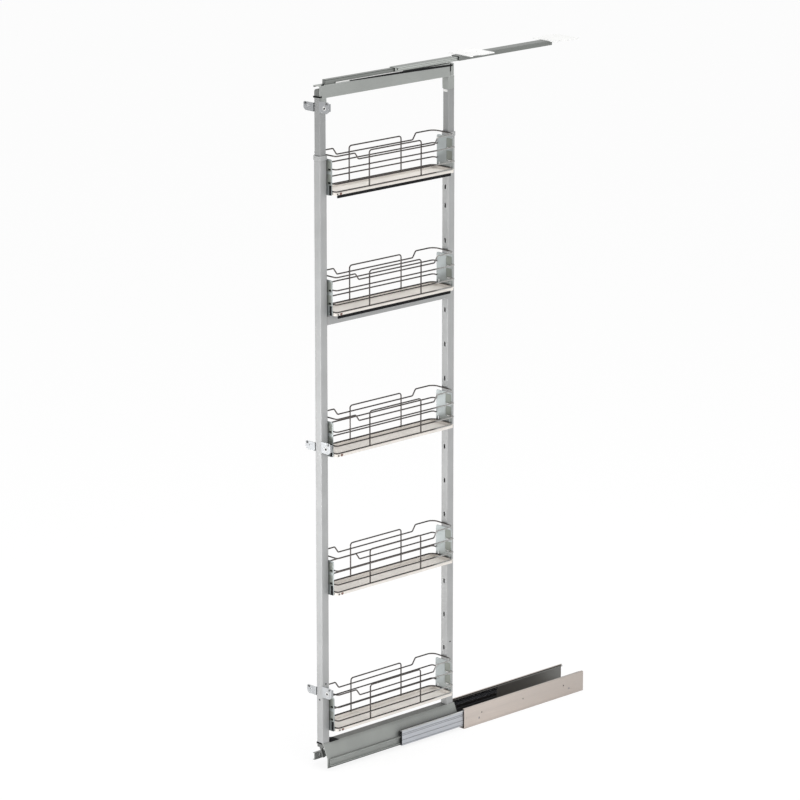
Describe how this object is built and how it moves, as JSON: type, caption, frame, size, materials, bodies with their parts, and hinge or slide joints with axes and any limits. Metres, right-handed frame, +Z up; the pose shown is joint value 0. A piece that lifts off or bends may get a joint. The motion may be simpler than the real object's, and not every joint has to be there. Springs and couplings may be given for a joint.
{
  "type": "pull out larder unit",
  "caption": "Tall pull-out larder frame with hook-on wire baskets, on full-extension runners at floor and ceiling, with a height-adjustable top and door brackets.",
  "frame": {"origin": "centre of the floor housing's underside, on the cabinet floor, with the unit pulled out", "axes": "+X across the unit, +Y into the cabinet, +Z up"},
  "size_m": [0.1, 1.022, 1.968],
  "materials": {
    "housing_nickel": "satin nickel-toned sheet",
    "runner_zinc": "bright zinc-plated sheet",
    "post_silver": "silver-grey powder coat",
    "frame_grey": "grey powder coat",
    "bracket_zinc": "zinc-plated sheet",
    "fastener_steel": "bright zinc-plated steel",
    "stop_grey": "moulded, matt",
    "ceiling_white": "white coated sheet",
    "tray_white": "moulded, fine grain",
    "wire_chrome": "chrome-plated wire",
    "plate_grey": "zinc-plated sheet"
  },
  "bodies": {
    "cabinet_base": {"lower_housing": "housing_nickel", "housing_rivets": "fastener_steel", "lower_outer_rail_left": "runner_zinc", "lower_outer_rail_right": "runner_zinc"},
    "lower_middle": {"lower_middle_rail_left": "runner_zinc", "lower_middle_rail_right": "runner_zinc", "lower_ball_rows": "fastener_steel"},
    "pullout_frame": {"carrier": "frame_grey", "front_foot": "stop_grey", "lower_inner_rail_left": "frame_grey", "lower_inner_rail_right": "frame_grey", "front_post": "post_silver", "rear_post": "post_silver", "front_collar": "post_silver", "rear_collar": "post_silver", "collar_screws": "fastener_steel", "cross_brace": "post_silver", "brace_screws": "fastener_steel", "door_bracket_middle_left": "bracket_zinc", "door_bracket_middle_right": "bracket_zinc", "door_bracket_bottom_left": "bracket_zinc", "door_bracket_bottom_right": "bracket_zinc", "door_bracket_screws": "fastener_steel"},
    "upper_frame": {"front_post_extension": "post_silver", "rear_post_extension": "post_silver", "top_beam": "frame_grey", "beam_front_stop": "stop_grey", "beam_front_bracket": "frame_grey", "beam_rear_bracket": "frame_grey", "beam_end_plate": "frame_grey", "upper_inner_rail": "runner_zinc", "door_bracket_top_left": "bracket_zinc", "door_bracket_top_right": "bracket_zinc", "door_bracket_top_screws": "fastener_steel"},
    "upper_middle": {"upper_middle_rail": "runner_zinc", "upper_ball_rows": "fastener_steel"},
    "cabinet_top": {"upper_cabinet_rail": "runner_zinc", "ceiling_plate_front": "ceiling_white", "ceiling_plate_rear": "ceiling_white", "ceiling_plate_rivets": "fastener_steel"},
    "basket_1": {"basket_1_tray": "tray_white", "basket_1_wires": "wire_chrome", "basket_1_front_plate": "plate_grey", "basket_1_rear_plate": "plate_grey"},
    "basket_2": {"basket_2_tray": "tray_white", "basket_2_wires": "wire_chrome", "basket_2_front_plate": "plate_grey", "basket_2_rear_plate": "plate_grey"},
    "basket_3": {"basket_3_tray": "tray_white", "basket_3_wires": "wire_chrome", "basket_3_front_plate": "plate_grey", "basket_3_rear_plate": "plate_grey"},
    "basket_4": {"basket_4_tray": "tray_white", "basket_4_wires": "wire_chrome", "basket_4_front_plate": "plate_grey", "basket_4_rear_plate": "plate_grey"},
    "basket_5": {"basket_5_tray": "tray_white", "basket_5_wires": "wire_chrome", "basket_5_front_plate": "plate_grey", "basket_5_rear_plate": "plate_grey"}
  },
  "joints": [
    {"name": "frame_slide", "type": "slide", "parent": "cabinet_base", "child": "pullout_frame", "axis": [0, 1, 0], "range_m": [0, 0.5]},
    {"name": "lower_middle_slide", "type": "slide", "parent": "cabinet_base", "child": "lower_middle", "axis": [0, 1, 0], "range_m": [0, 0.25]},
    {"name": "height_adjust", "type": "slide", "parent": "pullout_frame", "child": "upper_frame", "axis": [0, 0, 1], "range_m": [-0.04, 0.1]},
    {"name": "upper_middle_slide", "type": "slide", "parent": "upper_frame", "child": "upper_middle", "axis": [0, 1, 0], "range_m": [-0.25, 0]},
    {"name": "cabinet_top_slide", "type": "slide", "parent": "upper_frame", "child": "cabinet_top", "axis": [0, 1, 0], "range_m": [-0.5, 0]},
    {"name": "basket_1_lift", "type": "slide", "parent": "pullout_frame", "child": "basket_1", "axis": [0, 0, 1], "range_m": [0, 0.0065]},
    {"name": "basket_2_lift", "type": "slide", "parent": "pullout_frame", "child": "basket_2", "axis": [0, 0, 1], "range_m": [0, 0.0065]},
    {"name": "basket_3_lift", "type": "slide", "parent": "pullout_frame", "child": "basket_3", "axis": [0, 0, 1], "range_m": [0, 0.0065]},
    {"name": "basket_4_lift", "type": "slide", "parent": "pullout_frame", "child": "basket_4", "axis": [0, 0, 1], "range_m": [0, 0.0065]},
    {"name": "basket_5_lift", "type": "slide", "parent": "pullout_frame", "child": "basket_5", "axis": [0, 0, 1], "range_m": [0, 0.0065]}
  ],
  "couplings": [
    {"joint": "lower_middle_slide", "follows": "frame_slide", "ratio": 0.5},
    {"joint": "upper_middle_slide", "follows": "frame_slide", "ratio": -0.5},
    {"joint": "cabinet_top_slide", "follows": "frame_slide", "ratio": -1}
  ]
}
